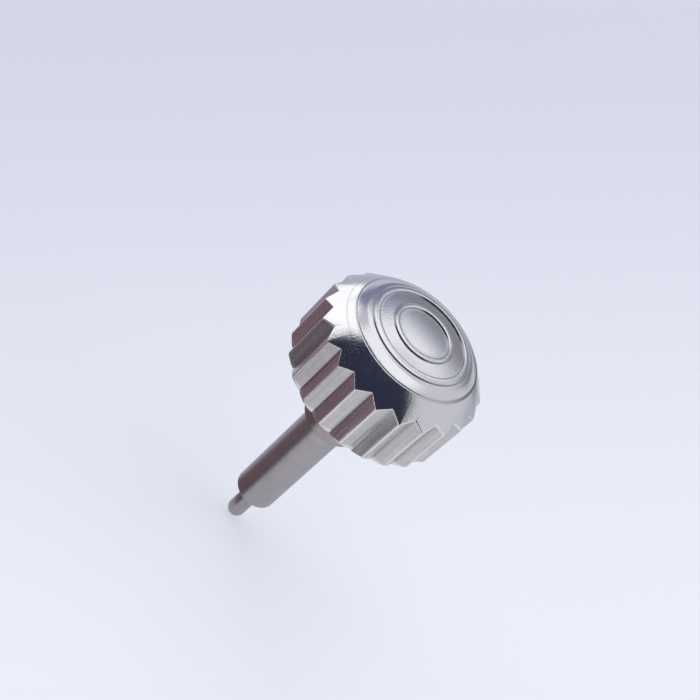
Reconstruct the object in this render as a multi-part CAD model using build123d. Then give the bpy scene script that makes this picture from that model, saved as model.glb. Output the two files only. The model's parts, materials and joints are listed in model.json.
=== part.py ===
from build123d import *
import math
import os

# A screw-down watch crown with a sprung stem post, in millimetres.
# The origin is on the axis at the back plane of the skirt. +Z points out of the dome.
# The post and its joint pin hang below the back plane, and slide up into the crown.

# Clearances
slide_clear = 0.02        # round the sliding post
seal_clear = 0.01         # between a rubber ring and what it sits against
overrun = 0.5             # how far a cutter passes a face

# Sliding post, which the joint pin screws into
post_d = 1.53
post_reach = 6.79         # below the back plane, spring relaxed
post_end_round = 0.09
post_flange_lip = 0.115   # flange beyond the post
post_flange_h = 0.60
post_flat_depth = 0.16    # each of the two flats that stop the post turning
post_bore_d = 0.84        # for the spring
post_bore_depth = 1.60
post_travel = 1.00

# Joint pin, which snaps into the other half of the stem
pin_d = 0.656
pin_reach = 1.60          # post end to pin tip
pin_neck_d = 0.55
pin_neck_h = 0.30
pin_tail_d = 1.00
pin_tail_h = 1.45
pin_tail_lead = 0.08

# Guide hub, which the case tube slides over
hub_wall = 0.16
hub_reach = 2.02          # below the back plane
hub_guide_h = 1.96        # length of the round guide at the mouth
hub_mouth_bevel = 0.05
hub_collar_step = 0.20    # press collar beyond the hub
hub_socket_depth = 0.45   # in the roof of the cap

# Return spring and its stop sleeve
spring_wire_d = 0.12
spring_clear = 0.03       # between the coils and the post's bore
spring_turns = 14
spring_spans = 4          # swept stretches in each turn
sleeve_wall = 0.30
sleeve_cap_h = 0.15

# Threaded core and seals, listed from the back plane upwards
tube_room = 0.61          # radial room for the case tube
thread_depth = 0.14
thread_pitch = 0.25
thread_width_share = 0.84  # of the pitch, at the bore
thread_inset_share = 0.25  # of the depth, that the cutter starts inside the bore
core_wall = 0.45
mouth_recess = 0.10
seal_washer_h = 0.15
seal_seat_h = 0.36
thread_len = 0.99
tube_gasket_h = 0.44
gasket_washer_h = 0.15
seal_wire_d = 0.30        # section of the rubber ring in the mouth
seal_proud = 0.10         # how far that ring stands in from the thread's root
washer_room = 0.08        # washer's bore beyond the thread's root
gasket_round = 0.08

# Crown cap, outside
skirt_wall = 0.53         # core to the root of a flute
flute_count = 22
flute_depth = 0.21
flute_root_round = 0.04
crest_land = 0.04
back_bevel = 0.17
roof_wall = 0.61          # roof to the foot of the platform
shoulder_run = 0.747
shoulder_rise = 0.738
shoulder_bulge = 0.03
platform_run = 0.297
platform_rise = 0.157
platform_bulge = 0.03
dome_rise = 0.16

# Two turned rings in relief on the dome
relief_h = 0.045
rim_land = 0.13
outer_ring_w = 0.24
ring_valley = 0.49
inner_ring_w = 0.17
relief_round = 0.018

# Radii, from the post outwards
post_r = post_d / 2
mouth_r = post_r + slide_clear
flange_r = post_r + post_flange_lip
chamber_r = flange_r + slide_clear
flange_flat = flange_r - post_flat_depth
chamber_flat = flange_flat + slide_clear
hub_r = chamber_r + hub_wall
collar_r = hub_r + hub_collar_step
thread_minor_r = hub_r + tube_room
thread_major_r = thread_minor_r + thread_depth
core_r = thread_major_r + core_wall
root_r = core_r + skirt_wall
head_r = root_r + flute_depth
platform_r = head_r - shoulder_run
dome_r = platform_r - platform_run

# Heights, from the back plane
seal_washer_z = mouth_recess
core_z = seal_washer_z + seal_washer_h
thread_z = core_z + seal_seat_h
gasket_z = thread_z + thread_len
gasket_washer_z = gasket_z + tube_gasket_h
roof_z = gasket_washer_z + gasket_washer_h
platform_z = roof_z + roof_wall
skirt_z = platform_z - shoulder_rise
dome_z = platform_z + platform_rise
hub_top_z = roof_z + hub_socket_depth
shoulder_z = hub_guide_h - hub_reach
flange_top_z = shoulder_z + post_flange_h
spring_floor_z = flange_top_z - post_bore_depth
spring_roof_z = hub_top_z - sleeve_cap_h
stop_z = flange_top_z + post_travel + slide_clear


def turned(outline):
    """Solid turned from an outline of (radius, height) points and three-point arcs."""
    edges = []
    here = outline[0]
    for step in outline[1:] + outline[:1]:
        if isinstance(step[0], tuple):
            through, end = step
            edges.append(ThreePointArc(at(here), at(through), at(end)))
            here = end
        else:
            edges.append(Line(at(here), at(step)))
            here = step
    return revolve(make_face(edges), Axis.Z)


def at(point):
    return (point[0], 0, point[1])


def bulged(start, end, bulge):
    """Arc from start to end that stands bulge proud of the straight line, to its right."""
    run, rise = end[0] - start[0], end[1] - start[1]
    length = math.hypot(run, rise)
    middle = ((start[0] + end[0]) / 2, (start[1] + end[1]) / 2)
    through = (middle[0] + bulge * rise / length, middle[1] - bulge * run / length)
    return (through, end)


def ring(inner_r, outer_r, low_z, high_z):
    return turned([(inner_r, low_z), (outer_r, low_z), (outer_r, high_z), (inner_r, high_z)])


def disc(radius, low_z, high_z):
    return Pos(0, 0, low_z) * extrude(Circle(radius), high_z - low_z)


def keyed(radius, flat, low_z, high_z):
    """Round bar with two flats at plus and minus flat along Y."""
    section = Circle(radius) & Rectangle(2 * radius, 2 * flat)
    return Pos(0, 0, low_z) * extrude(section, high_z - low_z)


def dome_height(radius):
    """Height of the dome's bare surface, a shallow cap of a sphere centred on the axis."""
    sphere_r = (dome_r**2 + dome_rise**2) / (2 * dome_rise)
    return dome_z + dome_rise - sphere_r + math.sqrt(sphere_r**2 - radius**2)


def flute_star(height, low_z):
    """Bar whose section has one point for each crest, running on past the crests."""
    half = math.pi / flute_count
    land = crest_land / 2
    edge = (math.sqrt(head_r**2 - land**2), land)
    root = (root_r * math.cos(half), root_r * math.sin(half))
    slope = (root[0] - edge[0]) / (root[1] - edge[1])
    tip_r = edge[0] - slope * edge[1]
    points = []
    for index in range(flute_count):
        crest_angle = 2 * half * index
        root_angle = crest_angle + half
        points.append((tip_r * math.cos(crest_angle), tip_r * math.sin(crest_angle)))
        points.append((root_r * math.cos(root_angle), root_r * math.sin(root_angle)))
    section = make_face(Polyline(*points, close=True))
    middle_r = (tip_r + root_r) / 2
    roots = [v for v in section.vertices() if math.hypot(v.X, v.Y) < middle_r]
    section = fillet(roots, flute_root_round)
    return Pos(0, 0, low_z) * extrude(section, height)


def crown_cap():
    """Fluted head with its platform, dome and two relief rings, open at the back."""
    top = dome_height(0) + relief_h
    outer_ring_r = dome_r - rim_land
    valley_r = outer_ring_r - outer_ring_w
    inner_ring_r = valley_r - ring_valley
    blank = turned([
        (0, 0), (head_r - back_bevel, 0), (head_r, back_bevel), (head_r, skirt_z),
        bulged((head_r, skirt_z), (platform_r, platform_z), shoulder_bulge),
        bulged((platform_r, platform_z), (dome_r, dome_z), platform_bulge),
        ((dome_r / 2, dome_height(dome_r / 2)), (0, dome_height(0))),
    ])
    head = blank & flute_star(top + overrun, -overrun)
    head += relief_ring(valley_r, outer_ring_r)
    head += relief_ring(inner_ring_r - inner_ring_w, inner_ring_r)
    head -= disc(core_r, -overrun, roof_z)
    head -= disc(collar_r, roof_z - overrun, hub_top_z)
    return head


def relief_ring(inner_r, outer_r):
    """Raised ring with a softly crowned top, rooted in the dome."""
    inner_top = (inner_r, dome_height(inner_r) + relief_h - relief_round)
    outer_top = (outer_r, dome_height(outer_r) + relief_h - relief_round)
    return turned([
        (inner_r, dome_z - relief_h), (outer_r, dome_z - relief_h), outer_top,
        bulged(outer_top, inner_top, relief_round),
    ])


def thread_core():
    """Bush pressed into the cap, with the seats for the seals and the thread for the case tube."""
    seat_r = thread_major_r + seal_wire_d - seal_proud + seal_clear
    bush = ring(thread_minor_r, core_r, core_z, gasket_washer_z)
    bush -= disc(seat_r, core_z - overrun, thread_z)
    bush -= disc(thread_major_r, gasket_z, gasket_washer_z + overrun)
    return bush - thread_cutter()


def thread_cutter():
    """Ridge of triangular section wound along the thread's length."""
    length = thread_len - thread_pitch
    start_z = thread_z + thread_pitch / 2
    half = thread_pitch * thread_width_share / 2
    inset = thread_depth * thread_inset_share
    path = Helix(thread_pitch, length, thread_minor_r)
    section = Plane(origin=path @ 0, x_dir=(1, 0, 0), z_dir=path % 0) * Polyline(
        (-inset, -half), (thread_depth, 0), (-inset, half), close=True)
    return Pos(0, 0, start_z) * sweep(make_face(section), path=path, is_frenet=True)


def seal_washer():
    """Thin ring pressed into the mouth of the cap, which keeps the mouth seal in."""
    return ring(thread_major_r + washer_room, core_r, seal_washer_z, core_z)


def mouth_seal():
    """Rubber ring that wipes the plain end of the case tube."""
    wire_r = seal_wire_d / 2
    centre_r = thread_major_r + seal_wire_d - seal_proud - wire_r
    section = Plane.XZ * (Pos(centre_r, core_z + wire_r + seal_clear) * Circle(wire_r))
    return revolve(section, Axis.Z)


def tube_gasket():
    """Rubber ring of rounded square section, which the end of the case tube presses."""
    inner_r, outer_r = collar_r + seal_clear, thread_major_r - seal_clear
    width = outer_r - inner_r
    height = tube_gasket_h - 2 * seal_clear
    middle = Pos((inner_r + outer_r) / 2, gasket_z + seal_clear + height / 2)
    section = Plane.XZ * (middle * RectangleRounded(width, height, gasket_round))
    return revolve(section, Axis.Z)


def gasket_washer():
    """Steel ring between the roof of the cap and the tube gasket."""
    return ring(collar_r + seal_clear, core_r, gasket_washer_z, roof_z)


def guide_hub():
    """Tube fixed in the roof of the cap: a round guide at the mouth, then the keyed chamber."""
    bevel = hub_mouth_bevel
    tube = turned([
        (mouth_r + bevel, -hub_reach), (hub_r - bevel, -hub_reach), (hub_r, bevel - hub_reach),
        (hub_r, gasket_z), (collar_r, gasket_z), (collar_r, hub_top_z),
        (mouth_r, hub_top_z), (mouth_r, bevel - hub_reach),
    ])
    return tube - keyed(chamber_r, chamber_flat, shoulder_z, hub_top_z + overrun)


def stop_sleeve():
    """Sleeve at the top of the chamber: the spring's seat, and the stop for the flange."""
    body = keyed(chamber_r, chamber_flat, stop_z, hub_top_z)
    return body - disc(chamber_r - sleeve_wall, stop_z - overrun, spring_roof_z)


def return_spring():
    """Round wire wound in one open helix between the post's bore and the stop sleeve."""
    wire_r = spring_wire_d / 2
    coil_r = post_bore_d / 2 - spring_clear - wire_r
    pitch = (spring_roof_z - spring_floor_z - spring_wire_d) / spring_turns
    rise, turn = pitch / spring_spans, 360 / spring_spans
    span = Helix(pitch, rise, coil_r)
    path = Wire([
        Pos(0, 0, index * rise) * Rot(0, 0, index * turn) * span
        for index in range(spring_turns * spring_spans)
    ])
    section = Plane(origin=path @ 0, z_dir=path % 0) * Circle(wire_r)
    return Pos(0, 0, spring_floor_z + wire_r) * sweep(section, path=path, is_frenet=True)


def sliding_post():
    """Stem post with its keyed flange, a bore for the spring and a tapped hole for the pin."""
    post = disc(post_r, -post_reach, shoulder_z)
    end = post.edges().group_by(Axis.Z)[0]
    post = fillet(end, post_end_round)
    post += keyed(flange_r, flange_flat, shoulder_z, flange_top_z)
    post -= disc(post_bore_d / 2, spring_floor_z, flange_top_z + overrun)
    return post - disc(pin_tail_d / 2, -post_reach - overrun, pin_tail_h - post_reach)


def joint_pin():
    """Pin with a neck and a ball end, on a tail that screws into the post."""
    pin_r, neck_r, tail_r = pin_d / 2, pin_neck_d / 2, pin_tail_d / 2
    tip_z = -post_reach - pin_reach
    ball_z = tip_z + pin_r
    neck_z = -post_reach - pin_neck_h
    tail_z = pin_tail_h - post_reach
    slant = math.sqrt(0.5) * pin_r
    neck = ((neck_r, neck_z + pin_neck_h / 2), (pin_r, -post_reach))
    return turned([
        (0, tip_z), ((slant, ball_z - slant), (pin_r, ball_z)), (pin_r, neck_z), neck,
        (tail_r, -post_reach), (tail_r, tail_z - pin_tail_lead),
        (tail_r - pin_tail_lead, tail_z), (0, tail_z),
    ])


nodes = {
    "crown_cap": crown_cap,
    "thread_core": thread_core,
    "seal_washer": seal_washer,
    "mouth_seal": mouth_seal,
    "tube_gasket": tube_gasket,
    "gasket_washer": gasket_washer,
    "guide_hub": guide_hub,
    "stop_sleeve": stop_sleeve,
    "return_spring": return_spring,
    "sliding_post": sliding_post,
    "joint_pin": joint_pin,
}

os.makedirs("parts", exist_ok=True)
for name, make in nodes.items():
    solid = make()
    solid.label = name
    export_step(solid, f"parts/{name}.step")
    print(name, len(solid.solids()), "solid", round(solid.volume, 4), "mm3")
print("head", round(2 * head_r, 3), "across, dome", round(dome_height(0) + relief_h, 3), "high")
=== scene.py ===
import json
import math
from types import SimpleNamespace

import bmesh
import bpy
from mathutils import Matrix, Vector


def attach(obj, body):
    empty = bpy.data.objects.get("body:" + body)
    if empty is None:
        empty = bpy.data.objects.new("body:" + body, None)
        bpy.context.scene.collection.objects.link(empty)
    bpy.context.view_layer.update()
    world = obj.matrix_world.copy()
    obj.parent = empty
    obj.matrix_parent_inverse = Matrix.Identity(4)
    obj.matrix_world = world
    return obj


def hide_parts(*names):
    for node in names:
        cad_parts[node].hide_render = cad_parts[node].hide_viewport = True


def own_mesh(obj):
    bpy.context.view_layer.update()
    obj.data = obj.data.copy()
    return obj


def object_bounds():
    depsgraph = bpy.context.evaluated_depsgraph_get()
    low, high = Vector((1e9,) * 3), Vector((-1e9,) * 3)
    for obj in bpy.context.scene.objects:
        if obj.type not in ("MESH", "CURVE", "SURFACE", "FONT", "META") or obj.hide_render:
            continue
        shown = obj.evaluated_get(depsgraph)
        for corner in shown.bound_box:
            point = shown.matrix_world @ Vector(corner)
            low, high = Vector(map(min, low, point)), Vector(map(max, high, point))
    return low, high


# A screw-down watch crown, dressed round its packed frame. The meshes are modelled in
# millimetres and scaled to metres when a piece is finished.

bl_info = {
    "name": "Watch Crown",
    "version": (1, 0, 0),
    "blender": (4, 5, 0),
    "location": "3D View > Sidebar > Crown",
    "description": "Models and finishes a fluted watch crown with its sprung stem post",
    "category": "Object",
}

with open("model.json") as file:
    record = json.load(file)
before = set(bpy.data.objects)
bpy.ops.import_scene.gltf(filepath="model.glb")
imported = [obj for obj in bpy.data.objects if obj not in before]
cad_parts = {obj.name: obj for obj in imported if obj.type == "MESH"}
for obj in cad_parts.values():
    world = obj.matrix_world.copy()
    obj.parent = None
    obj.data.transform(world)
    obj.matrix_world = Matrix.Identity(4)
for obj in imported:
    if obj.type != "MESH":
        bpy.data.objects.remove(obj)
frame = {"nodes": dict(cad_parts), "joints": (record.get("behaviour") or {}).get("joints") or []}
cad_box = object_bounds()

MM = 0.001
MERGE = 1e-4                        # millimetres within which two points are one
SHARP_ANGLE = math.radians(21)      # an edge that turns by more stays sharp
UPRIGHT_TILT = math.radians(5.25)   # a wall that leans by less counts as upright
ROUND_STEPS = 160                   # mesh steps round a turned piece


def size(name, default, description):
    """A length in metres, from a default in millimetres."""
    return bpy.props.FloatProperty(
        name=name, description=description, default=default * MM, min=0, precision=6,
        subtype="DISTANCE", unit="LENGTH")


def count(name, default, description):
    return bpy.props.IntProperty(name=name, description=description, default=default, min=1)


def share(name, default, description):
    return bpy.props.FloatProperty(
        name=name, description=description, default=default, min=0, max=1, subtype="FACTOR")


def colour(name, default, description):
    return bpy.props.FloatVectorProperty(
        name=name, description=description, default=default, min=0, soft_max=1, size=3,
        subtype="COLOR")


def strength(name, default, description):
    return bpy.props.FloatProperty(name=name, description=description, default=default, min=0)


class CrownCapSizes(bpy.types.PropertyGroup):
    """Fluted cap"""

    head_radius: size("Head radius", 3.00, "Axis to the crest of a flute")
    root_radius: size("Root radius", 2.79, "Axis to the root of a flute")
    flutes: count("Flutes", 22, "Flutes round the head")
    crest_round: size("Crest round", 0.05, "Radius of the worn crest between two flutes")
    root_round: size("Root round", 0.04, "Radius of the root of a flute")
    flank_edge: size("Flank edge", 0.045, "Rounded edge between the flutes and the shoulder")
    back_bevel: size("Back bevel", 0.17, "Bevel round the back rim")
    back_bulge: share("Back bulge", 0.2, "How far that bevel is crowned, of its width")
    deburr: size("Deburring", 0.01, "Bevel at the flutes' roots")
    skirt_height: size("Skirt height", 2.062, "Back plane to the start of the shoulder")
    ridge_radius: size("Ridge radius", 2.49, "Axis to the line between the shoulder's two cones")
    ridge_height: size("Ridge height", 2.588, "Back plane to that line")
    platform_radius: size("Platform radius", 2.253, "Axis to the foot of the platform")
    platform_height: size("Platform height", 2.80, "Back plane to the foot of the platform")
    platform_bulge: size("Platform bulge", 0.008, "How far the platform's side is crowned")
    foot_round: size("Foot round", 0.012, "Round above the groove at the platform's foot")
    groove_width: size("Groove width", 0.03, "Width of the groove at the platform's foot")
    groove_depth: size("Groove depth", 0.022, "Depth of that groove")
    dome_radius: size("Dome radius", 1.956, "Axis to the edge of the dome")
    dome_height: size("Dome height", 2.957, "Back plane to the edge of the dome")
    dome_rise: size("Dome rise", 0.16, "Rise of the dome to its middle")
    edge_round: size("Edge round", 0.05, "Round of the dome's edge")
    relief: size("Relief", 0.045, "Height of the two rings on the dome")
    relief_round: size("Relief round", 0.014, "Round of the rings' edges")
    outer_ring: size("Outer ring", 1.826, "Outer radius of the outer ring")
    outer_ring_width: size("Outer ring width", 0.24, "Width of the outer ring")
    inner_ring: size("Inner ring", 1.096, "Outer radius of the inner ring")
    inner_ring_width: size("Inner ring width", 0.17, "Width of the inner ring")
    ring_bulge: size("Ring bulge", 0.018, "How far the rings' tops are crowned")
    round_steps: count("Round steps", 3, "Mesh columns in a crest or a root")
    flank_steps: count("Flank steps", 6, "Mesh columns in a flank")
    mouth_edge: size("Mouth edge", 0.02, "Round of the bore's mouth")
    bore_radius: size("Bore radius", 2.26, "Bore that the threaded core is pressed into")
    roof_height: size("Roof height", 2.19, "Back plane to the roof of the bore")
    socket_radius: size("Socket radius", 1.26, "Socket for the hub's collar")
    socket_height: size("Socket height", 2.64, "Back plane to the roof of the socket")


class StemSizes(bpy.types.PropertyGroup):
    """Stem post and pin"""

    post_radius: size("Post radius", 0.765, "Radius of the sliding post")
    post_reach: size("Post reach", 6.79, "Back plane to the post's end")
    post_end_round: size("Post end round", 0.09, "Round of the post's end")
    flange_radius: size("Flange radius", 0.88, "Radius of the post's flange")
    flange_flat: size("Flange flat", 0.72, "Axis to each flat of the flange")
    flange_foot: size("Flange foot", 0.06, "Back plane down to the flange's foot")
    flange_top: size("Flange top", 0.54, "Back plane up to the flange's top")
    spring_bore: size("Spring bore", 0.42, "Radius of the post's bore")
    spring_floor: size("Spring floor", 1.06, "Back plane down to the bore's floor")
    pin_radius: size("Pin radius", 0.328, "Radius of the joint pin")
    pin_reach: size("Pin reach", 1.60, "Post end to the pin's tip")
    pin_neck_radius: size("Neck radius", 0.275, "Radius of the pin's neck")
    pin_neck_height: size("Neck height", 0.30, "Height of the pin's neck")
    pin_neck_edge: size("Neck edge", 0.03, "Round between the neck and the pin")
    pin_tail_radius: size("Tail radius", 0.50, "Radius of the pin's tail in the post")
    pin_tail_height: size("Tail height", 1.45, "Length of the pin's tail")
    pin_tail_lead: size("Tail lead", 0.08, "Bevel of the tail's end")
    clearance: size("Clearance", 0.02, "Between the post and the hub")


class HubSizes(bpy.types.PropertyGroup):
    """Guide hub"""

    hub_radius: size("Hub radius", 1.06, "Radius of the guide hub")
    mouth_bevel: size("Mouth bevel", 0.05, "Bevels at the hub's mouth")
    collar_foot: size("Collar foot", 1.60, "Back plane to the foot of the collar in the cap")


class SpringSizes(bpy.types.PropertyGroup):
    """Return spring"""

    wire: size("Wire", 0.12, "Diameter of the spring wire")
    coil_radius: size("Coil radius", 0.33, "Axis to the middle of the wire")
    roof: size("Roof", 2.49, "Back plane up to the spring's upper end")
    turns: count("Turns", 14, "Turns of the spring")
    turn_steps: count("Steps", 20, "Mesh steps in a turn")
    wire_sides: count("Wire sides", 10, "Sides of the wire's section")


class SealSizes(bpy.types.PropertyGroup):
    """Seals"""

    gasket_round: size("Gasket round", 0.08, "Rounds of the gasket")
    mould_line: size("Mould line", 0.006, "Height of the line where the mould parted")
    washer_bevel: size("Washer bevel", 0.02, "Bevel of the washer's lower edges")


class FinishLook(bpy.types.PropertyGroup):
    """Finishes"""

    polished: colour("Polished steel", (0.66, 0.66, 0.675), "Shoulder, platform and dome")
    ground: colour("Ground steel", (0.61, 0.605, 0.625), "Flanks of the flutes")
    turned: colour("Turned steel", (0.40, 0.39, 0.39), "Hub, core and washers")
    drawn: colour("Drawn steel", (0.43, 0.42, 0.435), "Post and pin")
    rubber: colour("Rubber", (0.018, 0.018, 0.021), "Seals")
    polish: share("Polish roughness", 0.11, "Roughness of the polished faces")
    grind: share("Grinding roughness", 0.22, "Roughness of the ground flanks")
    turning: share("Turning roughness", 0.30, "Roughness of turned steel")


class StageLook(bpy.types.PropertyGroup):
    """Stage"""

    floor: colour("Floor", (0.69, 0.71, 0.82), "Pale floor and backdrop")
    floor_near: colour("Near floor", (0.88, 0.91, 0.98), "The floor towards the camera")
    floor_mirrored: colour("Mirrored floor", (0.80, 0.79, 0.81), "The near floor in reflections")
    floor_far: colour("Mirrored far floor", (0.57, 0.57, 0.66), "The far floor in reflections")
    night: colour("Dark card", (0.030, 0.034, 0.066), "Card round the camera")
    ember: colour("Brown", (0.24, 0.158, 0.182), "Brown card low on the left")
    fold: colour("Dark brown", (0.18, 0.105, 0.125), "Darker strip of that card")
    ash: colour("Grey strip", (0.15, 0.148, 0.165), "Grey strip on that card")
    shade: colour("Shade", (0.30, 0.30, 0.33), "The floor's shaded far side in reflections")
    patch: colour("Pale patch", (0.86, 0.86, 0.89), "Small pale patch on the floor")
    lamp_key: colour("Key white", (1.5, 1.5, 1.5), "White card on the left")
    lamp_white: colour("Overhead white", (1.25, 1.25, 1.32), "White card overhead")
    lamp_grey: colour("Right grey", (0.78, 0.78, 0.83), "Grey card on the right")
    smoke: colour("Smoke", (0.15, 0.15, 0.16), "Small dark patch on the floor")
    haze: colour("Haze", (0.72, 0.72, 0.77), "Duller part of the overhead card")
    far_grey: colour("Far grey", (0.30, 0.305, 0.35), "Grey card behind the crown")
    far_blue: colour("Far blue", (0.28, 0.29, 0.45), "Blue card behind the crown")
    floor_gap: size("Floor gap", 0.05, "Pin's tip to the floor")
    room_light: strength("Room light", 0.45, "The room's light on matt things")
    lens: bpy.props.FloatProperty(
        name="Lens", description="Focal length in millimetres", default=64.85, min=1)


GROUPS = {
    "crown_cap": CrownCapSizes,
    "crown_stem": StemSizes,
    "crown_hub": HubSizes,
    "crown_spring": SpringSizes,
    "crown_seals": SealSizes,
    "crown_finish": FinishLook,
    "crown_stage": StageLook,
}


def in_mm(group):
    """The group's values with its lengths in millimetres."""
    values = {}
    for name, prop in group.bl_rna.properties.items():
        if prop.unit == "LENGTH":
            values[name] = getattr(group, name) / MM
        elif prop.type in {"FLOAT", "INT"}:
            values[name] = getattr(group, name)
    return SimpleNamespace(**values)


def solid_ring(node):
    """Inner and outer radius, and lowest and highest point, of a node's solid in mm."""
    places = [vert.co / MM for vert in frame["nodes"][node].data.vertices]
    radii = [place.xy.length for place in places]
    heights = [place.z for place in places]
    return min(radii), max(radii), min(heights), max(heights)


# Outlines and turned shapes

class Outline:
    """A wire in the plane of X (radius) and Z (height), which grows from a first point."""

    def __init__(self, bm, start):
        self.bm = bm
        self.tip = bmesh.ops.create_vert(bm, co=(start[0], 0, start[1]))["vert"][0]
        self.corners = []

    def to(self, point, corner=0):
        """A straight line to a point, which may get a rounded corner of that width."""
        made = bmesh.ops.extrude_vert_indiv(self.bm, verts=[self.tip])
        self.tip = made["verts"][0]
        self.tip.co = (point[0], 0, point[1])
        if corner:
            self.corners.append((self.tip, corner))

    def arc(self, point, bulge, steps, corner=0):
        """An arc to a point. Its middle stands bulge to the left of the way there."""
        start, end = self.tip.co.copy(), Vector((point[0], 0, point[1]))
        chord = end - start
        half = chord.length / 2
        radius = (half * half + bulge * bulge) / (2 * abs(bulge))
        side = Vector((-chord.z, 0, chord.x)).normalized() * math.copysign(1, bulge)
        centre = (start + end) / 2 + side * (abs(bulge) - radius)
        turn = 2 * math.asin(min(1, half / radius)) * math.copysign(1, bulge)
        made = bmesh.ops.spin(self.bm, geom=[self.tip], cent=centre, axis=(0, 1, 0),
                              angle=turn, steps=steps)
        self.tip = made["geom_last"][0]
        self.tip.co = end
        if corner:
            self.corners.append((self.tip, corner))

    def curve(self, point, radius, steps, corner=0):
        """An arc of that radius to a point. It stands proud to the left."""
        half = (Vector((point[0], 0, point[1])) - self.tip.co).length / 2
        self.arc(point, radius - math.sqrt(radius**2 - half**2), steps, corner)

    def rounded(self, segments=5):
        """Rounds the corners that were asked for on the way."""
        for vert, width in self.corners:
            bmesh.ops.bevel(self.bm, geom=[vert], offset=width, segments=segments,
                            profile=0.5, affect="VERTICES", material=-1)


def whole(bm):
    return bm.verts[:] + bm.edges[:] + bm.faces[:]


def spin_round(bm, steps=ROUND_STEPS):
    """Spins a wire once round Z. Its first and last copies are merged in the weld."""
    bmesh.ops.spin(bm, geom=whole(bm), cent=(0, 0, 0), axis=(0, 0, 1),
                   angle=2 * math.pi, steps=steps, use_merge=False)


def turned(points, segments):
    """Turns an outline of points, each a radius, a height and perhaps a corner's width.

    An outline that starts on the axis ends there too, and any other one is closed.
    """
    bm = bmesh.new()
    outline = Outline(bm, points[0])
    closing = points[:1] if points[0][0] else []
    for radius, height, *corner in points[1:] + closing:
        outline.to((radius, height), *corner)
    outline.rounded(segments)
    spin_round(bm)
    return bm


def wire_section(bm, radius, sides, middle, height, filled):
    """Circle across the wire of a ring or a spring, in the plane of X and Z."""
    place = Matrix.Translation((middle, 0, height)) @ Matrix.Rotation(math.pi / 2, 4, "X")
    bmesh.ops.create_circle(bm, cap_ends=filled, radius=radius, segments=sides, matrix=place)


def weld(bm):
    """Merges what lies in one place, and turns the faces outward."""
    bmesh.ops.remove_doubles(bm, verts=bm.verts[:], dist=MERGE)
    bmesh.ops.recalc_face_normals(bm, faces=bm.faces[:])


def piece(name, bm, body, materials, replaces):
    """Welds the mesh and makes it an object in metres, which rides on its body."""
    weld(bm)
    bm.normal_update()
    for edge in bm.edges:
        edge.smooth = edge.is_manifold and edge.calc_face_angle(0) < SHARP_ANGLE
    for face in bm.faces:
        face.smooth = True
    bmesh.ops.scale(bm, vec=(MM, MM, MM), verts=bm.verts[:])
    mesh = bpy.data.meshes.new(name)
    bm.to_mesh(mesh)
    bm.free()
    for each in materials:
        mesh.materials.append(each)
    made = bpy.data.objects.new(name, mesh)
    bpy.context.scene.collection.objects.link(made)
    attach(made, body)
    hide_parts(replaces)
    return made


# Materials

class Socket:
    """A shader value that takes part in arithmetic: each operation adds a Math node."""

    def __init__(self, graph, socket):
        self.graph = graph
        self.socket = socket

    def maths(self, operation, *others):
        return self.graph.maths(operation, self, *others)

    def __add__(self, other):
        return self.maths("ADD", other)

    def __sub__(self, other):
        return self.maths("SUBTRACT", other)

    def __mul__(self, other):
        return self.maths("MULTIPLY", other)

    def __truediv__(self, other):
        return self.maths("DIVIDE", other)

    def __rsub__(self, other):
        return self.graph.maths("SUBTRACT", other, self)

    __radd__ = __add__
    __rmul__ = __mul__

    def power(self, exponent):
        return self.maths("POWER", exponent)

    def between(self, low, high):
        """0 at low and 1 at high, with a smooth step."""
        inputs = {"Value": self, "From Min": low, "From Max": high}
        return self.graph.value("ShaderNodeMapRange", "Result", inputs,
                                interpolation_type="SMOOTHSTEP")


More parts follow.
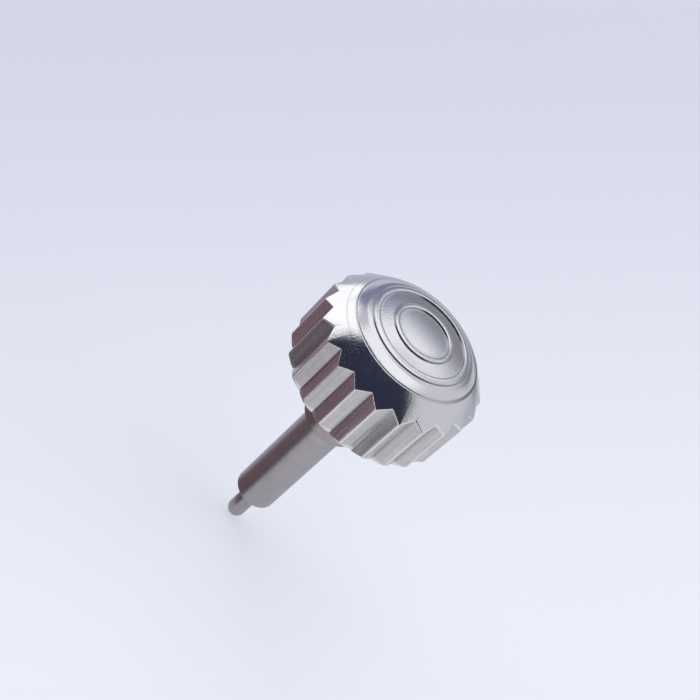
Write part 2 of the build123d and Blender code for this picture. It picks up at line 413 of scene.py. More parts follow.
class Graph:
    """The node tree of one material or world, and the one way in which nodes join it."""

    COLOUR_A, COLOUR_B, COLOUR_RESULT = 6, 7, 2   # a Mix node's colour sockets

    def __init__(self, tree):
        self.tree = tree
        tree.nodes.clear()

    def node(self, kind, inputs=None, **settings):
        made = self.tree.nodes.new(kind)
        for name, value in settings.items():
            setattr(made, name, value)
        for name, value in (inputs or {}).items():
            socket = made.inputs[name]
            if isinstance(value, Socket):
                self.tree.links.new(value.socket, socket)
            elif isinstance(value, bpy.types.NodeSocket):
                self.tree.links.new(value, socket)
            else:
                socket.default_value = value
        return made

    def value(self, kind, output, inputs, **settings):
        return Socket(self, self.node(kind, inputs, **settings).outputs[output])

    def maths(self, operation, *terms):
        inputs = dict(enumerate(terms))
        return self.value("ShaderNodeMath", "Value", inputs, operation=operation)

    def place(self):
        """Object coordinates in millimetres."""
        coordinates = self.node("ShaderNodeTexCoord").outputs["Object"]
        inputs = {"Vector": coordinates, "Scale": 1 / MM}
        return self.node("ShaderNodeVectorMath", inputs, operation="SCALE").outputs["Vector"]

    def split(self, vector):
        parts = self.node("ShaderNodeSeparateXYZ", {"Vector": vector}).outputs
        return [Socket(self, parts[axis]) for axis in "XYZ"]

    def joined(self, x, y, z):
        return self.node("ShaderNodeCombineXYZ", {"X": x, "Y": y, "Z": z}).outputs["Vector"]

    def noise(self, vector, scale, detail, roughness=0.5):
        """Noise from 0 to 1 about 0.5."""
        inputs = {"Vector": vector, "Scale": scale, "Detail": detail, "Roughness": roughness}
        return self.value("ShaderNodeTexNoise", "Fac", inputs)

    def mixed(self, factor, first, second):
        """Colour from first to second as factor goes from 0 to 1."""
        inputs = {"Factor": factor, self.COLOUR_A: opaque(first), self.COLOUR_B: opaque(second)}
        return self.node("ShaderNodeMix", inputs, data_type="RGBA").outputs[self.COLOUR_RESULT]

    def bump(self, height, distance):
        """Normal bent by a height, whose unit is a distance in millimetres."""
        inputs = {"Height": height, "Distance": distance * MM, "Strength": 1}
        return self.node("ShaderNodeBump", inputs).outputs["Normal"]

    def seen_rays(self):
        """1 for what the eye sees, straight, mirrored or through glass, and 1 if mirrored."""
        path = self.node("ShaderNodeLightPath")
        camera, glossy, clear = (
            Socket(self, path.outputs[f"Is {kind} Ray"])
            for kind in ("Camera", "Glossy", "Transmission"))
        return (camera + glossy + clear).maths("MINIMUM", 1), glossy

    def output(self, shader):
        self.node("ShaderNodeOutputMaterial", {"Surface": shader.outputs[0]})

    def surface(self, tint, rough, height, distance, metallic=1):
        """Principled shader to the output: bare steel, unless metallic says otherwise."""
        inputs = {"Base Color": tint, "Metallic": metallic, "Roughness": rough,
                  "Normal": self.bump(height, distance)}
        self.output(self.node("ShaderNodeBsdfPrincipled", inputs))

    def blended(self, factor, first, second):
        """Two shaders to the output, from first to second as factor goes from 0 to 1."""
        inputs = {0: factor, 1: first.outputs[0], 2: second.outputs[0]}
        self.output(self.node("ShaderNodeMixShader", inputs))


def material(name):
    made = bpy.data.materials.new(name)
    made.use_nodes = True
    return made, Graph(made.node_tree)


def tone(value, factor):
    return tuple(channel * factor for channel in value)


def opaque(value):
    """A colour with the alpha that its socket wants. A link stays as it is."""
    return value if isinstance(value, bpy.types.NodeSocket) else (*value, 1)


def from_axis(x, y):
    return (x * x + y * y).power(0.5)


def worn_and_highlit_edges(graph, cap, x, y, z):
    """1 along the flutes' ends and the back rim, where handling keeps the steel bright.
    Lightening the colour there is partly that wear and partly a painted highlight.
    """
    radius = from_axis(x, y)
    fall = (cap.ridge_height - cap.skirt_height) / (cap.head_radius - cap.ridge_radius)
    off_cone = (z - cap.skirt_height - (cap.head_radius - radius) * fall).maths("ABSOLUTE")
    half = math.pi / cap.flutes
    across = graph.maths("ARCTAN2", y, x).maths("PINGPONG", half) / half
    off_flank = cap.head_radius - across * (cap.head_radius - cap.root_radius) - radius
    at_flank = 1 - off_flank.between(cap.flank_edge / 2, cap.flank_edge * 1.2)
    ends = (1 - off_cone.between(cap.flank_edge / 2, cap.flank_edge)) * at_flank
    outside = radius.between(cap.root_radius - cap.flank_edge, cap.root_radius)
    rim = (1 - z.between(cap.back_bevel / 2, cap.back_bevel)) * outside
    return (ends + rim).maths("MINIMUM", 1)


def painted_groove_shade(cap, radius, open_side, shaded):
    """Painted shade: darker lines along the rings' feet, the platform's foot and the shoulder's
    ridge.
    """
    foot = cap.platform_radius + cap.groove_width / 2
    # Each line's radius, how far the painted shade reaches from it, and how much there is
    lines = (
        (cap.outer_ring, 0.024, 0.7), (cap.outer_ring - cap.outer_ring_width, 0.016, 0.5),
        (cap.inner_ring, 0.024, 0.7), (cap.inner_ring - cap.inner_ring_width, 0.016, 0.5),
        (foot, 0.07, 0.25 + shaded * 0.8), (cap.ridge_radius, 0.03, open_side * 0.3))
    groove_shade = 0
    for line, reach, amount in lines:
        off = (radius - line).maths("ABSOLUTE")
        groove_shade = (1 - off.between(reach / 3, reach)) * amount + groove_shade
    return groove_shade


def polished_steel(look):
    """Lapped and buffed steel: clear reflections, fine speckle, painted shade along the grooves,
    and wear with a painted highlight along the edges.
    """
    made, graph = material("polished_steel")
    cap = in_mm(bpy.context.scene.crown_cap)
    place = graph.place()
    x, y, z = graph.split(place)
    radius = from_axis(x, y)
    cloud = graph.noise(place, 0.9, 3)
    fine = graph.noise(place, 20, 2, 0.6)
    streaks = graph.noise(graph.joined(x * 2.2, y * 12, z * 5), 1.0, 2)
    # Dust lies in patches on the shoulder, most of it on the side of +X. The painted shade at
    # the platform's foot is darkest on the shaded side, and the painted dark line at the ridge
    # lies on the side of +X.
    open_side = (x * 0.9 - y * 0.1).between(1.0, 2.3)
    shaded = (x * -0.9 - y * 0.3).between(0.3, 2.0)
    patchy = graph.noise(place, 1.1, 1).between(0.4, 0.6) * radius.between(2.2, 2.4)
    dust = graph.noise(place, 27, 1).between(0.60, 0.72) * patchy * (0.3 + open_side * 0.7)
    groove_shade = painted_groove_shade(cap, radius, open_side, shaded) * (0.7 + cloud * 0.5)
    worn_and_highlit = worn_and_highlit_edges(graph, cap, x, y, z)
    tint = graph.mixed(cloud, tone(look.polished, 0.95), tone(look.polished, 1.04))
    # Lighter along the flutes' ends and the back rim: partly wear, partly a painted highlight
    tint = graph.mixed(worn_and_highlit * 0.7, tint, tone(look.polished, 1.3))
    # Painted shade darkens the colour along the grooves and the ridge, mottled by the cloud
    tint = graph.mixed(groove_shade * 0.8, tint, tone(look.polished, 0.12))
    rough = look.polish * 0.6 + fine * 0.06 + dust * 0.45 + cloud * 0.03
    height = fine * 2.0 + streaks * 0.3
    graph.surface(tint, rough, height, distance=0.0018)
    return made


def ground_steel(look):
    """Flanks left by the cutter: fine lines along the axis, burnished at the crests. Painted
    highlight at crests and edges, painted shade in the roots.
    """
    made, graph = material("ground_steel")
    cap = in_mm(bpy.context.scene.crown_cap)
    place = graph.place()
    x, y, z = graph.split(place)
    radius = from_axis(x, y)
    lines = graph.noise(graph.joined(x * 22, y * 22, z * 0.7), 1.0, 3, 0.6)
    coarse = graph.noise(graph.joined(x * 7, y * 7, z * 0.4), 1.0, 2)
    mottle = graph.noise(place, 3.0, 5, 0.72)
    below_crest = cap.head_radius - radius
    crest = 1 - below_crest.between(cap.crest_round * 0.1, cap.crest_round * 0.7)
    # Painted shade in the flutes' roots, where the flanks meet
    root = 1 - radius.between(cap.root_radius, cap.root_radius + cap.root_round)
    streak = (lines * 0.6 + coarse * 0.4).between(0.30, 0.70)
    worn_and_highlit = (crest + worn_and_highlit_edges(graph, cap, x, y, z)).maths("MINIMUM", 1)
    tint = graph.mixed(streak, tone(look.ground, 0.84), tone(look.ground, 1.10))
    tint = graph.mixed(mottle.between(0.35, 0.7) * 0.4, tint, tone(look.ground, 0.74))
    tint = graph.mixed(root * 0.4, tint, tone(look.ground, 0.5))
    # Lighter at the crests, the flutes' ends and the back rim: partly burnish and wear, partly a
    # painted highlight
    tint = graph.mixed(worn_and_highlit * 0.75, tint, tone(look.ground, 1.4))
    rough = look.grind * 0.8 + streak * 0.08 + mottle * 0.08 - worn_and_highlit * 0.08
    height = lines * 0.6 + coarse * 0.5 + mottle * 0.6
    graph.surface(tint, rough, height, distance=0.0035)
    return made


def turned_steel(name, base, roughness, groove=0.0025):
    """Steel from a lathe: faint rings along the axis and on the end faces."""
    made, graph = material(name)
    place = graph.place()
    x, y, z = graph.split(place)
    radius = from_axis(x, y)
    rings = graph.noise(graph.joined(radius * 28, z * 28, 0), 1.0, 2, 0.6)
    drawn = graph.noise(graph.joined(x * 9, y * 9, z * 0.6), 1.0, 2)
    cloud = graph.noise(place, 1.7, 3)
    tint = graph.mixed(rings.between(0.3, 0.7), tone(base, 0.95), tone(base, 1.05))
    tint = graph.mixed(cloud.between(0.4, 0.8) * 0.3, tint, tone(base, 0.72))
    rough = roughness * 0.8 + rings * 0.08 + cloud * 0.08
    height = rings * 0.45 + drawn * 0.6
    graph.surface(tint, rough, height, groove)
    return made


def sealing_rubber(look):
    """Matt black rubber with a dusty bloom and a fine grain."""
    made, graph = material("sealing_rubber")
    place = graph.place()
    grain = graph.noise(place, 30, 3, 0.6)
    bloom = graph.noise(place, 3, 3).between(0.45, 0.75)
    tint = graph.mixed(bloom * 0.5, look.rubber, tone(look.rubber, 2.2))
    rough = 0.55 + grain * 0.2 + bloom * 0.1
    graph.surface(tint, rough, grain, distance=0.004, metallic=0)
    return made


def finish(name):
    """One material of each name, made when it is first asked for."""
    if name in bpy.data.materials:
        return bpy.data.materials[name]
    look = bpy.context.scene.crown_finish
    makers = {
        "polished_steel": lambda: polished_steel(look),
        "ground_steel": lambda: ground_steel(look),
        "turned_steel": lambda: turned_steel(name, look.turned, look.turning),
        "drawn_steel": lambda: turned_steel(name, look.drawn, look.turning, groove=0.0018),
        "wire_steel": lambda: turned_steel(name, look.turned, roughness=0.22, groove=0.001),
        "sealing_rubber": lambda: sealing_rubber(look),
    }
    return makers[name]()


# The fluted cap

def dome_sphere(s):
    """Radius of the sphere that the bare dome is part of."""
    return (s.dome_radius**2 + s.dome_rise**2) / (2 * s.dome_rise)


def dome_height(s, radius):
    sphere = dome_sphere(s)
    return s.dome_height + s.dome_rise - sphere + math.sqrt(sphere**2 - radius**2)


def over_dome(outline, s, radius, steps, corner):
    outline.curve((radius, dome_height(s, radius)), dome_sphere(s), steps, corner)


def relief_ring(outline, s, outer, width):
    """Steps up on to a raised ring, over its crowned top and down again."""
    inner = outer - width
    foot = s.relief_round / 2
    over_dome(outline, s, inner, steps=6, corner=foot)
    outline.to((inner, dome_height(s, inner) + s.relief), s.relief_round)
    outline.arc((outer, dome_height(s, outer) + s.relief), s.ring_bulge, steps=6,
                corner=s.relief_round)
    outline.to((outer, dome_height(s, outer)), foot)


def shoulder(outline, s, reach):
    """Groove at the platform's foot, then two cones that meet in a faint ridge."""
    groove = s.platform_radius + s.groove_width
    fall = (s.platform_height - s.ridge_height) / (s.ridge_radius - s.platform_radius)
    outline.to((s.platform_radius, s.platform_height - s.groove_depth))
    outline.to((groove, s.platform_height - s.groove_width * fall), s.foot_round)
    outline.to((s.ridge_radius, s.ridge_height))
    fall = (s.ridge_height - s.skirt_height) / (s.head_radius - s.ridge_radius)
    outline.to((reach, s.skirt_height + (s.head_radius - reach) * fall), s.flank_edge)


def cap_outline(bm, s, reach):
    """From the middle of the dome over the outside, which is cut at reach, to the bore."""
    outline = Outline(bm, (0, dome_height(s, 0)))
    relief_ring(outline, s, s.inner_ring, s.inner_ring_width)
    relief_ring(outline, s, s.outer_ring, s.outer_ring_width)
    over_dome(outline, s, s.dome_radius, steps=2, corner=s.edge_round)
    outline.arc((s.platform_radius, s.platform_height), s.platform_bulge, steps=8,
                corner=s.foot_round)
    shoulder(outline, s, reach)
    bevel = max(s.deburr, reach - s.head_radius + s.back_bevel)
    outline.to((reach, bevel))
    outline.arc((reach - bevel, 0), bevel * s.back_bulge, steps=3)
    outline.to((s.bore_radius, 0), s.mouth_edge)
    outline.to((s.bore_radius, s.roof_height))
    outline.to((s.socket_radius, s.roof_height))
    outline.to((s.socket_radius, s.socket_height))
    outline.to((0, s.socket_height))
    outline.rounded()


def flute_places(s):
    """Points of half a flute seen along the axis: round crest, flat flank, round root."""
    half = math.pi / s.flutes
    root = Vector((math.cos(half), math.sin(half))) * s.root_radius
    crest = Vector((s.head_radius, 0))
    run = (root - crest).normalized()
    tilt = math.atan2(-run.x, run.y)
    places = []
    for step in range(s.round_steps + 1):
        turn = tilt * step / s.round_steps
        places.append(crest - Vector((1, 0)) * s.crest_round
                      + Vector((math.cos(turn), math.sin(turn))) * s.crest_round)
    inward = Vector((-math.cos(half), -math.sin(half)))
    middle = root - inward * s.root_round
    ends = []
    for step in range(s.round_steps + 1):
        turn = (tilt + half) * (1 - step / s.round_steps)
        ends.append(middle + Matrix.Rotation(turn, 2) @ inward * s.root_round)
    for step in range(1, s.flank_steps):
        places.append(places[s.round_steps].lerp(ends[0], step / s.flank_steps))
    return places + ends


def bridged_flute(bm, s):
    """Half a flute: one outline at each place across it, joined to the outline before."""
    before = []
    for place in flute_places(s):
        known = set(bm.edges)
        cap_outline(bm, s, place.length)
        wire = [edge for edge in bm.edges if edge not in known]
        verts = list({vert for edge in wire for vert in edge.verts})
        azimuth = math.atan2(place.y, place.x)
        bmesh.ops.rotate(bm, verts=verts, cent=(0, 0, 0),
                         matrix=Matrix.Rotation(azimuth, 3, "Z"))
        if before:
            bmesh.ops.bridge_loops(bm, edges=before + wire)
        before = wire


class CROWN_OT_cap(bpy.types.Operator):
    """Fluted cap: half a flute is bridged from outlines, mirrored and repeated"""
    bl_idname = "crown.cap"
    bl_label = "Fluted Cap"

    def execute(self, context):
        s = in_mm(context.scene.crown_cap)
        pitch = 2 * math.pi / s.flutes
        bm = bmesh.new()
        bridged_flute(bm, s)
        bmesh.ops.mirror(bm, geom=whole(bm), matrix=Matrix.Identity(4), merge_dist=MERGE,
                         axis="Y")
        bmesh.ops.spin(bm, geom=whole(bm), cent=(0, 0, 0), axis=(0, 0, 1),
                       angle=pitch * (s.flutes - 1), steps=s.flutes - 1, use_duplicate=True)
        weld(bm)
        for face in bm.faces:
            upright = abs(face.normal.z) < math.sin(UPRIGHT_TILT)
            inner = face.calc_center_median().xy.length < s.root_radius - s.root_round
            face.material_index = 1 if upright and not inner else 0
        piece("fluted_cap", bm, "crown", [finish("polished_steel"), finish("ground_steel")],
              "crown_cap")
        return {"FINISHED"}


# The stem: hub, post and pin

def keyed(bm, radius, flat, low, high):
    """Presses the walls of that radius between two heights to flats across Y."""
    for vert in bm.verts:
        at_wall = abs(math.hypot(vert.co.x, vert.co.y) - radius) < MERGE * 10
        if at_wall and low - MERGE < vert.co.z < high + MERGE:
            vert.co.y = max(-flat, min(flat, vert.co.y))


class CROWN_OT_hub(bpy.types.Operator):
    """Guide hub: a turned tube with bevels at its mouth and a keyed chamber inside"""
    bl_idname = "crown.hub"
    bl_label = "Guide Hub"

    def execute(self, context):
        s = in_mm(context.scene.crown_hub)
        stem = in_mm(context.scene.crown_stem)
        mouth, collar, low, high = solid_ring("guide_hub")
        chamber = stem.flange_radius + stem.clearance
        flat = stem.flange_flat + stem.clearance
        bevel = s.mouth_bevel
        softened = bevel / 4
        bm = turned([
            (mouth + bevel, low),
            (s.hub_radius - bevel, low, softened),
            (s.hub_radius, low + bevel, softened),
            (s.hub_radius, s.collar_foot),
            (collar, s.collar_foot),
            (collar, high),
            (chamber, high),
            (chamber, -stem.flange_foot),
            (mouth, -stem.flange_foot),
            (mouth, low + bevel),
        ], segments=3)
        keyed(bm, chamber, flat, -stem.flange_foot, high)
        piece("guide_tube", bm, "crown", [finish("turned_steel")], "guide_hub")
        return {"FINISHED"}


class CROWN_OT_post(bpy.types.Operator):
    """Stem post with its keyed flange, spring bore and tapped end"""
    bl_idname = "crown.post"
    bl_label = "Stem Post"

    def execute(self, context):
        s = in_mm(context.scene.crown_stem)
        tail = s.pin_tail_height - s.post_reach
        bm = turned([
            (0, -s.spring_floor),
            (s.spring_bore, -s.spring_floor),
            (s.spring_bore, s.flange_top),
            (s.flange_radius, s.flange_top),
            (s.flange_radius, -s.flange_foot),
            (s.post_radius, -s.flange_foot),
            (s.post_radius, -s.post_reach, s.post_end_round),
            (s.pin_tail_radius, -s.post_reach),
            (s.pin_tail_radius, tail),
            (0, tail),
        ], segments=6)
        keyed(bm, s.flange_radius, s.flange_flat, -s.flange_foot, s.flange_top)
        piece("stem_post", bm, "post", [finish("drawn_steel")], "sliding_post")
        return {"FINISHED"}


class CROWN_OT_pin(bpy.types.Operator):
    """Joint pin with a waisted neck and a ball end"""
    bl_idname = "crown.pin"
    bl_label = "Joint Pin"

    def execute(self, context):
        s = in_mm(context.scene.crown_stem)
        tip = -s.post_reach - s.pin_reach
        ball = tip + s.pin_radius
        neck = -s.post_reach - s.pin_neck_height
        tail = s.pin_tail_height - s.post_reach
        bm = bmesh.new()
        outline = Outline(bm, (0, tip))
        quarter_bulge = s.pin_radius * (1 - math.sqrt(0.5))
        outline.arc((s.pin_radius, ball), -quarter_bulge, steps=14)
        outline.to((s.pin_radius, neck), s.pin_neck_edge)
        waist = s.pin_radius - s.pin_neck_radius
        outline.arc((s.pin_radius, -s.post_reach), waist, steps=8)
        outline.to((s.pin_tail_radius, -s.post_reach))
        outline.to((s.pin_tail_radius, tail - s.pin_tail_lead))
        outline.to((s.pin_tail_radius - s.pin_tail_lead, tail))
        outline.to((0, tail))
        outline.rounded(segments=3)
        spin_round(bm, ROUND_STEPS // 2)
        piece("ball_pin", bm, "post", [finish("drawn_steel")], "joint_pin")
        return {"FINISHED"}


# What lies inside

class CROWN_OT_spring(bpy.types.Operator):
    """Return spring: a wire section spun up the axis"""
    bl_idname = "crown.spring"
    bl_label = "Return Spring"

    def execute(self, context):
        s = in_mm(context.scene.crown_spring)
        floor = -in_mm(context.scene.crown_stem).spring_floor
        radius = s.wire / 2
        rise = s.roof - floor - s.wire
        bm = bmesh.new()
        wire_section(bm, radius, s.wire_sides, s.coil_radius, floor + radius, filled=True)
        steps = s.turns * s.turn_steps
        bmesh.ops.spin(bm, geom=bm.faces[:], cent=(0, 0, 0), axis=(0, 0, 1),
                       angle=2 * math.pi * s.turns, steps=steps, dvec=(0, 0, rise / steps))
        if any(edge.is_boundary for edge in bm.edges):
            raise RuntimeError("the spring has an open end")
        made = piece("coil_spring", bm, "crown", [finish("wire_steel")],
                     "return_spring")
        slide = next(j for j in frame["joints"] if j["name"] == "post_slide")
        height = (s.roof - floor) * MM
        (height - slide["range_m"][1]) / height
        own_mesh(made)
        return {"FINISHED"}


class CROWN_OT_seals(bpy.types.Operator):
    """Rubber rings and the washer that keeps the mouth seal in"""
    bl_idname = "crown.seals"
    bl_label = "Seals and Washer"

    def execute(self, context):
        s = in_mm(context.scene.crown_seals)
        self.mouth_seal(s)
        self.tube_gasket(s)
        self.washer(s)
        return {"FINISHED"}

    def mouth_seal(self, s):
        """Round section with a mould line along its inner side."""
        inner, outer, low, high = solid_ring("mouth_seal")
        middle, height = (inner + outer) / 2, (low + high) / 2
        bm = bmesh.new()
        wire_section(bm, (outer - inner) / 2, 24, middle, height, filled=False)
        for vert in bm.verts:
            if abs(vert.co.z - height) < MERGE and vert.co.x < middle:
                vert.co.x -= s.mould_line
        spin_round(bm)
        piece("mouth_ring", bm, "crown", [finish("sealing_rubber")], "mouth_seal")

    def tube_gasket(self, s):
        """Square section with rounded corners."""
        inner, outer, low, high = solid_ring("tube_gasket")
        bm = turned([
            ((inner + outer) / 2, low),
            (outer, low, s.gasket_round),
            (outer, high, s.gasket_round),
            (inner, high, s.gasket_round),
            (inner, low, s.gasket_round),
        ], segments=6)
        piece("tube_ring", bm, "crown", [finish("sealing_rubber")], "tube_gasket")

    def washer(self, s):
        """Flat ring pressed into the cap's bore, with its lower edges eased."""
        inner, outer, low, high = solid_ring("seal_washer")
        bm = turned([
            (inner, high),
            (inner, low, s.washer_bevel),
            (outer, low, s.washer_bevel),
            (outer, high),
        ], segments=3)
        piece("mouth_washer", bm, "crown", [finish("turned_steel")],
              "seal_washer")


class CROWN_OT_carried(bpy.types.Operator):
    """Finishes for the pieces that keep their solid: core, upper washer and stop sleeve"""
    bl_idname = "crown.carried"
    bl_label = "Core, Washer and Sleeve"

    def execute(self, context):
        for node in ("thread_core", "gasket_washer", "stop_sleeve"):
            carried = frame["nodes"][node]
            carried.data.materials.clear()
            carried.data.materials.append(finish("turned_steel"))
        return {"FINISHED"}


# Stage, lamps and camera

# The photograph's view: the camera's place, and what is right and up in the picture
CAMERA_PLACE = Vector((11.324, 29.109, 25.176)) * MM
CAMERA_RIGHT = Vector((-0.8034, -0.1924, 0.5636))
CAMERA_UP = Vector((0.5375, -0.6417, 0.5471))
CAMERA_BACK = CAMERA_RIGHT.cross(CAMERA_UP)
# What leads up the picture along the floor
FLOOR_AWAY = (CAMERA_UP - CAMERA_BACK * (CAMERA_UP.z / CAMERA_BACK.z)).normalized()
STUDIO = 0.5                  # metres from the crown to the lamps and the outermost card
CARD_STEP = 0.008 * MM        # between floor cards that overlap
FLOOR_FADE = (80, 400)        # millimetres out, where the floor takes the room's colour
FLOOR_ROWS = (-0.19, 0.25)    # row slopes between which the floor takes its far colour
MIRROR_TURN = (-7, 3)         # millimetres away, where the mirrored floor darkens
FLOOR_GLOW = 0.55             # share of the near floor's look that is its own glow
MIRROR_GLOW = 0.4             # what reflections add to that share


def linked(name, data):
    made = bpy.data.objects.new(name, data)
    bpy.context.scene.collection.objects.link(made)
    return made


def meshed(name, bm):
    mesh = bpy.data.meshes.new(name)
    bm.to_mesh(mesh)
    bm.free()
    return linked(name, mesh)


def soft_lamp(name, azimuth, elevation, width, brightness):
    """Square area lamp that faces the crown. Cards take its place in reflections."""
    lamp = bpy.data.lights.new(name, "AREA")
    lamp.shape = "SQUARE"
    lamp.size = width
    lamp.energy = brightness * math.pi * width * width
    made = linked(name, lamp)
    a, e = math.radians(azimuth), math.radians(elevation)
    away = Vector((math.cos(e) * math.cos(a), math.cos(e) * math.sin(a), math.sin(e)))
    made.location = away * STUDIO
    made.rotation_euler = away.to_track_quat("Z", "Y").to_euler()
    made.visible_glossy = False


def soft_mask(value, low, high, fade_in, fade_out):
    """1 between two angles, with a soft start and end of the given widths."""
    return value.between(low, low + fade_in) * (1 - value.between(high - fade_out, high))


def only_reflected(card, mask, graph, tint):
    """Makes a stage object glow where its mask is 1, for glossy rays alone."""
    clear = graph.node("ShaderNodeBsdfTransparent")
    glow = graph.node("ShaderNodeEmission", {"Color": opaque(tint)})
    graph.blended(mask, clear, glow)
    card.visible_camera = False
    card.visible_diffuse = False
    card.visible_shadow = False
    card.visible_transmission = False
    card.visible_volume_scatter = False


def swept_card(name, bm, first, last, steps):
    """Card that a wire sweeps about Z from one azimuth to another, with its own material.

    Returns it, its graph, and a point's azimuth from its middle and height in millimetres.
    """
    bmesh.ops.rotate(bm, verts=bm.verts[:], cent=(0, 0, 0),
                     matrix=Matrix.Rotation(first, 3, "Z"))
    bmesh.ops.spin(bm, geom=whole(bm), cent=(0, 0, 0), axis=(0, 0, 1),
                   angle=last - first, steps=steps)
    card = meshed(name, bm)
    glowing, graph = material(name)
    card.data.materials.append(glowing)
    x, y, z = graph.split(graph.place())
    middle = (first + last) / 2
    ahead = x * math.cos(middle) + y * math.sin(middle)
    aside = y * math.cos(middle) - x * math.sin(middle)
    return card, graph, graph.maths("ARCTAN2", aside, ahead), z


def round_card(name, azimuths, elevations, fades, tint, distance=STUDIO, arch=0, lean=0):
    """Part of a sphere round the crown that glows in reflections, with soft edges.

    Angles are in degrees, and the fades are the widths of its left, right, bottom and top
    edge. The top edge is lower by arch at the sides than in the middle. The left edge moves
    inward by lean times the elevation's fall from the middle.
    """
    first, last = map(math.radians, azimuths)
    low, high = map(math.radians, elevations)
    left, right, bottom, top = map(math.radians, fades)
    bm = bmesh.new()
    bmesh.ops.create_vert(bm, co=(distance * math.cos(low), 0, distance * math.sin(low)))
    bmesh.ops.spin(bm, geom=bm.verts[:], cent=(0, 0, 0), axis=(0, -1, 0), angle=high - low,
                   steps=24)
    card, graph, azimuth, z = swept_card(name, bm, first, last, 72)
    elevation = graph.maths("ARCSINE", z * (MM / distance))
    half = (last - first) / 2
    aside = azimuth / half
    arched = elevation + aside * aside * math.radians(arch)
    leaning = azimuth + (elevation - (low + high) / 2) * lean
    mask = soft_mask(arched, low, high, bottom, top)
    if left or right:   # a full circle has no such edges
        mask = mask * leaning.between(-half, left - half)
        mask = mask * (1 - azimuth.between(half - right, half))
    only_reflected(card, mask, graph, tint)


def floor_card(name, azimuths, fades, radii, tint, height):
    """Sector of a ring just over the floor that glows in reflections, its radii in mm."""
    first, last = map(math.radians, azimuths)
    left, right = map(math.radians, fades)
    near, far = (radius * MM for radius in radii)
    bm = bmesh.new()
    bmesh.ops.create_vert(bm, co=(near, 0, height))
    made = bmesh.ops.extrude_vert_indiv(bm, verts=bm.verts[:])
    made["verts"][0].co.x = far
    card, graph, azimuth, _ = swept_card(name, bm, first, last, 48)
    half = (last - first) / 2
    only_reflected(card, soft_mask(azimuth, -half, half, left, right), graph, tint)


def pale_world(look):
    """The floor's colour behind everything, and a fainter light from it on matt things."""
    world = bpy.data.worlds.new("pale_room")
    world.use_nodes = True
    bpy.context.scene.world = world
    graph = Graph(world.node_tree)
    seen = graph.seen_rays()[0]
    light = look.room_light * (1 - seen) + seen
    inputs = {"Color": opaque(look.floor), "Strength": light}
    sky = graph.node("ShaderNodeBackground", inputs)
    graph.node("ShaderNodeOutputWorld", {"Surface": sky.outputs["Background"]})


def row_slope(x, y, height):
    """0 on the picture's middle row, and the same along each row, for a point of the floor.

    The rows fan out over the floor from one point, where the camera's level line meets it.
    """
    drop = height - CAMERA_PLACE.z
    hub = (CAMERA_PLACE + CAMERA_RIGHT * (drop / CAMERA_RIGHT.z)) / MM
    middle = (CAMERA_PLACE + CAMERA_BACK * (drop / CAMERA_BACK.z)) / MM
    along = (middle - hub).xy.normalized()
    ahead = (x - hub.x) * along.x + (y - hub.y) * along.y
    aside = (y - hub.y) * along.x - (x - hub.x) * along.y
    nearest = 20    # millimetres ahead of that point, where the rows would crowd
    return aside / ahead.maths("MAXIMUM", nearest)


def pale_floor(look):
    """Disc under the pin's tip, with the crown's shadow on it. Returns its height.

    It glows in part, so that its colour holds away from the lamps. Far off it glows alone,
    in the colour behind it, so that it ends in no hard line.
    """
    height = cad_box[0][2] - look.floor_gap
    bm = bmesh.new()
    bmesh.ops.create_circle(bm, cap_ends=True, cap_tris=False, segments=96, radius=4 * STUDIO,
                            matrix=Matrix.Translation((0, 0, height)))
    made = meshed("floor", bm)
    paper, graph = material("floor_paper")
    made.data.materials.append(paper)
    x, y, z = graph.split(graph.place())
    distant = from_axis(x, y).between(*FLOOR_FADE)
    up_picture = row_slope(x, y, height).between(*FLOOR_ROWS)
    tint = graph.mixed(up_picture, look.floor_near, look.floor)
    tint = graph.mixed(distant, tint, look.floor)
    away = x * FLOOR_AWAY.x + y * FLOOR_AWAY.y
    mirrored = graph.mixed(away.between(*MIRROR_TURN), look.floor_mirrored, look.floor_far)
    seen, glossy = graph.seen_rays()
    matt = graph.node("ShaderNodeBsdfDiffuse", {"Color": tint})
    glow = graph.node("ShaderNodeEmission", {"Color": graph.mixed(glossy, tint, mirrored)})
    share_of_glow = FLOOR_GLOW + distant * (1 - FLOOR_GLOW)
    graph.blended(seen * share_of_glow + glossy * MIRROR_GLOW, matt, glow)
    return height


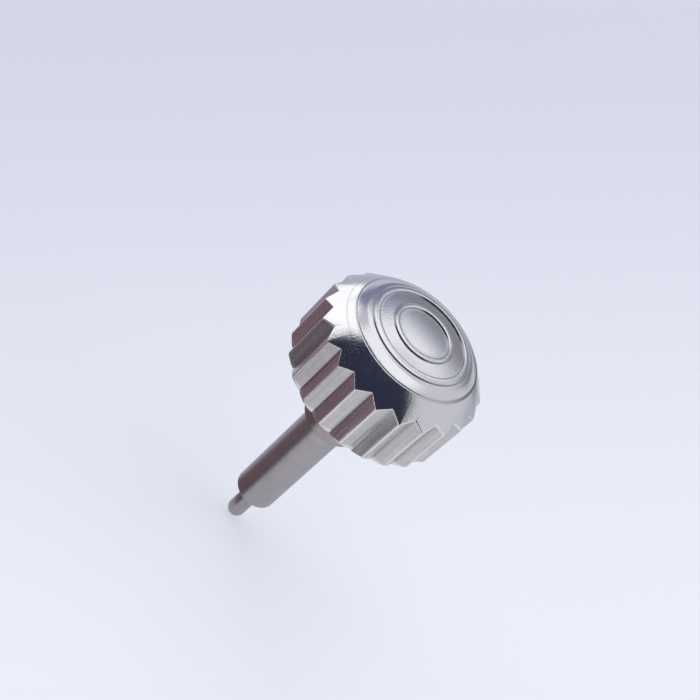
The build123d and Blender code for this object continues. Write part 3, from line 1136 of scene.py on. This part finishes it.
class CROWN_OT_stage(bpy.types.Operator):
    """Pale floor and room, soft lamps, cards for the reflections, and the camera"""
    bl_idname = "crown.stage"
    bl_label = "Stage"

    def execute(self, context):
        look = context.scene.crown_stage
        context.scene.view_settings.view_transform = "Standard"
        pale_world(look)
        height = pale_floor(look)
        soft_lamp("lamp_left", azimuth=-35, elevation=45, width=0.5, brightness=1.3)
        soft_lamp("lamp_top", azimuth=250, elevation=80, width=0.5, brightness=1.2)
        soft_lamp("lamp_right", azimuth=185, elevation=40, width=0.4, brightness=0.8)
        self.cards(look)
        self.floor_cards(look, height + look.floor_gap / 2)
        self.camera(context, look)
        return {"FINISHED"}

    def cards(self, look):
        """From the outermost to the innermost, which covers those outside it."""
        round_card("card_overhead", (-180, 180), (33, 90), (0, 0, 12, 0), look.lamp_white)
        round_card("card_haze", (-146, -103), (47, 68), (10, 8, 6, 10), look.haze, 0.49)
        round_card("card_left", (-75, 4), (-12, 62), (6, 6, 8, 12), look.lamp_key, 0.48)
        round_card("card_mist", (-74, -22), (36, 62), (10, 12, 10, 8), look.haze, 0.475)
        round_card("card_right", (118, 244), (4, 72), (14, 16, 10, 16), look.lamp_grey, 0.47)
        round_card("card_far", (210, 274), (8, 40), (14, 12, 12, 12), look.far_grey, 0.46)
        round_card("card_blue", (-103, -46), (17, 48), (7, 16, 5, 10), look.far_blue, 0.45)
        round_card("card_camera_side", (-20, 144), (-20, 71), (18, 18, 8, 3), look.night, 0.42,
                   arch=7, lean=-0.3)

    def floor_cards(self, look, low):
        high = low + CARD_STEP
        floor_card("brown_paper", (-54, 50), (32, 4), (1, 60), look.ember, low)
        floor_card("paper_fold", (32, 50), (4, 4), (1, 60), look.fold, high)
        floor_card("grey_strip", (15, 29), (3, 3), (1, 60), look.ash, high)
        floor_card("dark_patch", (62, 80), (4, 4), (11, 21), look.smoke, low)
        floor_card("far_shade", (212, 256), (12, 12), (50, 400), look.shade, low)
        floor_card("pale_patch", (226, 250), (8, 8), (14, 32), look.patch, low)

    def camera(self, context, look):
        data = bpy.data.cameras.new("photo_camera")
        data.lens = look.lens
        data.clip_start = 0.5 * MM
        data.clip_end = 100
        made = linked("photo_camera", data)
        turn = Matrix((CAMERA_RIGHT, CAMERA_UP, CAMERA_BACK)).transposed().to_4x4()
        made.matrix_world = Matrix.Translation(CAMERA_PLACE) @ turn
        context.scene.camera = made


class CROWN_PT_panel(bpy.types.Panel):
    """The crown's steps and values in the sidebar"""
    bl_idname = "CROWN_PT_panel"
    bl_label = "Watch Crown"
    bl_space_type = "VIEW_3D"
    bl_region_type = "UI"
    bl_category = "Crown"

    def draw(self, context):
        layout = self.layout
        for step in STEPS:
            layout.operator(step.bl_idname)
        for name, group in GROUPS.items():
            box = layout.box()
            box.label(text=group.__doc__)
            for key in group.__annotations__:
                box.prop(getattr(context.scene, name), key)


STEPS = [
    CROWN_OT_stage,
    CROWN_OT_cap,
    CROWN_OT_hub,
    CROWN_OT_post,
    CROWN_OT_pin,
    CROWN_OT_spring,
    CROWN_OT_seals,
    CROWN_OT_carried,
]
CLASSES = [*GROUPS.values(), *STEPS, CROWN_PT_panel]


def register():
    for each in CLASSES:
        bpy.utils.register_class(each)
    for name, group in GROUPS.items():
        setattr(bpy.types.Scene, name, bpy.props.PointerProperty(type=group))


def unregister():
    for name in GROUPS:
        delattr(bpy.types.Scene, name)
    for each in reversed(CLASSES):
        bpy.utils.unregister_class(each)


def main():
    register()
    for step in STEPS:
        group, action = step.bl_idname.split(".")
        getattr(getattr(bpy.ops, group), action)()
    bpy.context.view_layer.update()


if __name__ == "__main__":
    main()
